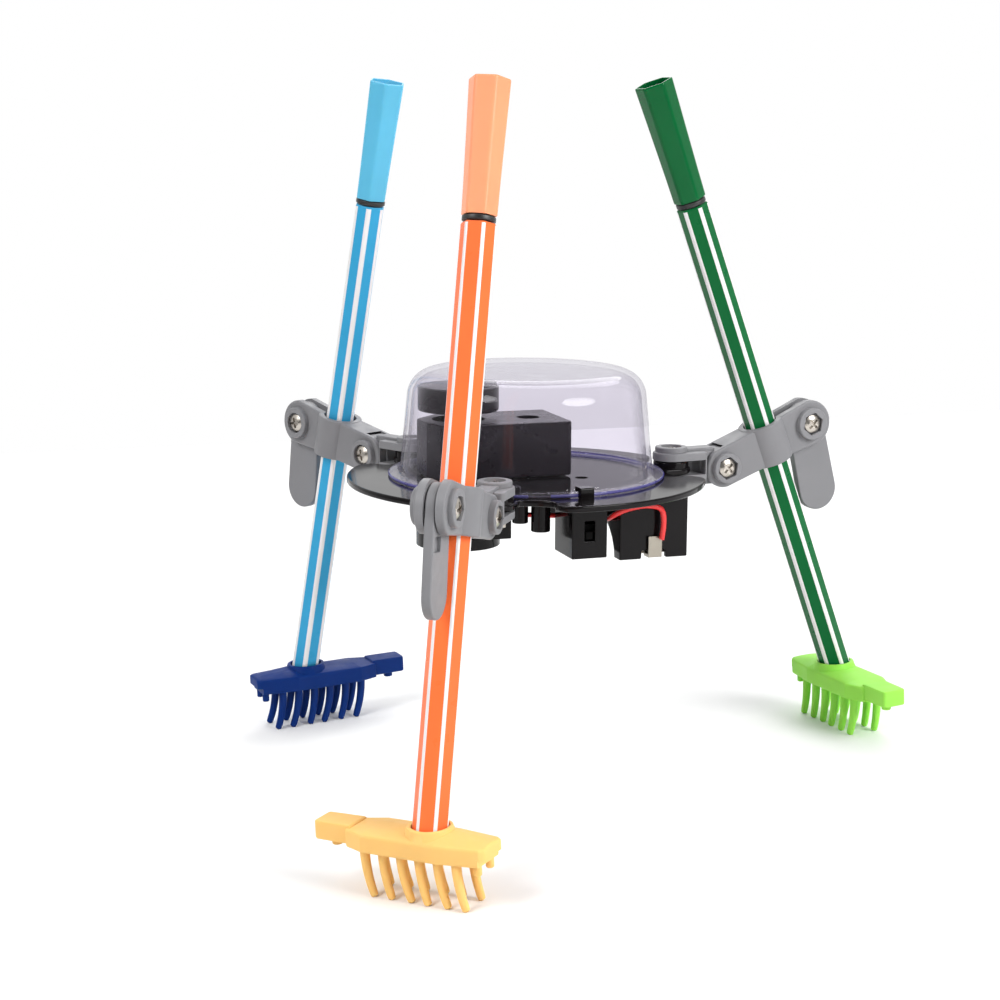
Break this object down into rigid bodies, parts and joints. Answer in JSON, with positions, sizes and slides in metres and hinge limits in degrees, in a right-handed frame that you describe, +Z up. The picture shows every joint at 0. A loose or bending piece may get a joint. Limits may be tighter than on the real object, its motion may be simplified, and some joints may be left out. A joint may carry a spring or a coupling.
{
  "type": "vibrating drawing robot kit",
  "caption": "Battery drawing robot: clear dome over an off-centre motor weight, hinged grey arms clamping hexagonal felt pens that stand in bristle feet.",
  "frame": {"origin": "centre of the bounding box, on the ground under the bristle tips", "axes": "+Z up; +X to the right and -Y towards the viewer, as in the picture; the orange pen stands in front"},
  "size_m": [0.1716, 0.1581, 0.1723],
  "materials": {
    "black_plastic": "glossy injection-moulded black",
    "clear_plastic": "clear, slightly violet at the edges",
    "grey_plastic": "satin mid grey",
    "screw_steel": "bright plated",
    "contact_steel": "bright sprung strip and wire",
    "motor_zinc": null,
    "wire_red": "satin insulation",
    "wire_black": "satin insulation",
    "pen_black": "satin nib section and collar",
    "orange_barrel": "orange-red hexagonal barrel with white edge stripes",
    "orange_cap": "plain light orange",
    "blue_barrel": "blue hexagonal barrel with white edge stripes",
    "blue_cap": "plain light blue",
    "green_barrel": "green hexagonal barrel with white edge stripes",
    "green_cap": "plain dark green",
    "orange_foot": "soft amber-yellow bristles and bar",
    "blue_foot": "soft navy bristles and bar",
    "green_foot": "soft lime bristles and bar"
  },
  "bodies": {
    "chassis": {"chassis_plate": "black_plastic", "motor_housing": "black_plastic", "housing_screw": "screw_steel", "motor_can": "motor_zinc", "motor_cup": "black_plastic", "battery_box": "black_plastic", "contact_front": "contact_steel", "contact_rear": "contact_steel", "contact_spring": "contact_steel", "switch_housing": "black_plastic", "wire_red": "wire_red", "wire_black": "wire_black"},
    "rotor": {"motor_shaft": "screw_steel", "weight_disc": "black_plastic", "weight_slug": "screw_steel"},
    "dome": {"dome_cover": "clear_plastic"},
    "switch": {"switch_slider": "black_plastic"},
    "orange_arm": {"orange_arm": "grey_plastic", "orange_swivel_screw": "screw_steel", "orange_swivel_nut": "screw_steel"},
    "orange_clamp": {"orange_clamp": "grey_plastic", "orange_tilt_screw": "screw_steel", "orange_tilt_nut": "screw_steel", "orange_lever_screw": "screw_steel", "orange_lever_nut": "screw_steel"},
    "orange_lever": {"orange_lever": "grey_plastic"},
    "orange_pen": {"orange_pen_barrel": "orange_barrel", "orange_pen_section": "pen_black"},
    "orange_cap": {"orange_pen_cap": "orange_cap"},
    "orange_foot": {"orange_foot": "orange_foot"},
    "blue_arm": {"blue_arm": "grey_plastic", "blue_swivel_screw": "screw_steel", "blue_swivel_nut": "screw_steel"},
    "blue_clamp": {"blue_clamp": "grey_plastic", "blue_tilt_screw": "screw_steel", "blue_tilt_nut": "screw_steel", "blue_lever_screw": "screw_steel", "blue_lever_nut": "screw_steel"},
    "blue_lever": {"blue_lever": "grey_plastic"},
    "blue_pen": {"blue_pen_barrel": "blue_barrel", "blue_pen_section": "pen_black"},
    "blue_cap": {"blue_pen_cap": "blue_cap"},
    "blue_foot": {"blue_foot": "blue_foot"},
    "green_arm": {"green_arm": "grey_plastic", "green_swivel_screw": "screw_steel", "green_swivel_nut": "screw_steel"},
    "green_clamp": {"green_clamp": "grey_plastic", "green_tilt_screw": "screw_steel", "green_tilt_nut": "screw_steel", "green_lever_screw": "screw_steel", "green_lever_nut": "screw_steel"},
    "green_lever": {"green_lever": "grey_plastic"},
    "green_pen": {"green_pen_barrel": "green_barrel", "green_pen_section": "pen_black"},
    "green_cap": {"green_pen_cap": "green_cap"},
    "green_foot": {"green_foot": "green_foot"}
  },
  "joints": [
    {"name": "rotor_spin", "type": "hinge", "parent": "chassis", "child": "rotor", "pos_m": [-0.02438, 0.01112, 0.07623], "axis": [0.0497, 0.0067, 0.9987], "continuous": true},
    {"name": "dome_twist", "type": "hinge", "parent": "chassis", "child": "dome", "pos_m": [-0.0079, 0.012, 0.0754], "axis": [0.0497, 0.0067, 0.9987], "range_deg": [0, 18]},
    {"name": "switch_slide", "type": "slide", "parent": "chassis", "child": "switch", "axis": [0.0497, 0.0067, 0.9987], "range_m": [0, 0.0022]},
    {"name": "orange_swivel", "type": "hinge", "parent": "chassis", "child": "orange_arm", "pos_m": [-0.01526, -0.02548, 0.07602], "axis": [0.0497, 0.0067, 0.9987], "range_deg": [-25, 25]},
    {"name": "orange_tilt", "type": "hinge", "parent": "orange_arm", "child": "orange_clamp", "pos_m": [-0.01918, -0.03839, 0.0763], "axis": [0.9555, -0.2913, -0.0456], "range_deg": [-10, 25]},
    {"name": "orange_lever_turn", "type": "hinge", "parent": "orange_clamp", "child": "orange_lever", "pos_m": [-0.02639, -0.06318, 0.0835], "axis": [0.9555, -0.2913, -0.0456], "range_deg": [-115, 0]},
    {"name": "orange_pen_slide", "type": "slide", "parent": "orange_clamp", "child": "orange_pen", "axis": [0.1204, 0.2444, 0.9622], "range_m": [-0.045, 0.035]},
    {"name": "orange_cap_pull", "type": "slide", "parent": "orange_pen", "child": "orange_cap", "axis": [0.1204, 0.2444, 0.9622], "range_m": [0, 0.035]},
    {"name": "orange_foot_turn", "type": "hinge", "parent": "orange_pen", "child": "orange_foot", "pos_m": [-0.03121, -0.06841, 0.016], "axis": [0.1204, 0.2444, 0.9622], "range_deg": [-25, 25]},
    {"name": "blue_swivel", "type": "hinge", "parent": "chassis", "child": "blue_arm", "pos_m": [-0.03664, 0.03713, 0.07666], "axis": [0.0497, 0.0067, 0.9987], "range_deg": [-25, 25]},
    {"name": "blue_tilt", "type": "hinge", "parent": "blue_arm", "child": "blue_clamp", "pos_m": [-0.0466, 0.04624, 0.07709], "axis": [-0.6737, -0.738, 0.0385], "range_deg": [-10, 25]},
    {"name": "blue_lever_turn", "type": "hinge", "parent": "blue_clamp", "child": "blue_lever", "pos_m": [-0.06565, 0.06397, 0.0835], "axis": [-0.6737, -0.738, 0.0385], "range_deg": [-115, 0]},
    {"name": "blue_pen_slide", "type": "slide", "parent": "blue_clamp", "child": "blue_pen", "axis": [0.2019, -0.1337, 0.9702], "range_m": [-0.045, 0.035]},
    {"name": "blue_cap_pull", "type": "slide", "parent": "blue_pen", "child": "blue_cap", "axis": [0.2019, -0.1337, 0.9702], "range_m": [0, 0.035]},
    {"name": "blue_foot_turn", "type": "hinge", "parent": "blue_pen", "child": "blue_foot", "pos_m": [-0.07057, 0.06493, 0.016], "axis": [0.2019, -0.1337, 0.9702], "range_deg": [-25, 25]},
    {"name": "green_swivel", "type": "hinge", "parent": "chassis", "child": "green_arm", "pos_m": [0.0282, 0.02435, 0.07352], "axis": [0.0497, 0.0067, 0.9987], "range_deg": [-25, 25]},
    {"name": "green_tilt", "type": "hinge", "parent": "green_arm", "child": "green_clamp", "pos_m": [0.04044, 0.03, 0.07287], "axis": [-0.4186, 0.908, 0.0147], "range_deg": [-10, 25]},
    {"name": "green_lever_turn", "type": "hinge", "parent": "green_clamp", "child": "green_lever", "pos_m": [0.06359, 0.04054, 0.08131], "axis": [-0.4186, 0.908, 0.0147], "range_deg": [-115, 0]},
    {"name": "green_pen_slide", "type": "slide", "parent": "green_clamp", "child": "green_pen", "axis": [-0.2801, -0.1445, 0.949], "range_m": [-0.045, 0.035]},
    {"name": "green_cap_pull", "type": "slide", "parent": "green_pen", "child": "green_cap", "axis": [-0.2801, -0.1445, 0.949], "range_m": [0, 0.035]},
    {"name": "green_foot_turn", "type": "hinge", "parent": "green_pen", "child": "green_foot", "pos_m": [0.07139, 0.04519, 0.016], "axis": [-0.2801, -0.1445, 0.949], "range_deg": [-25, 25]}
  ]
}
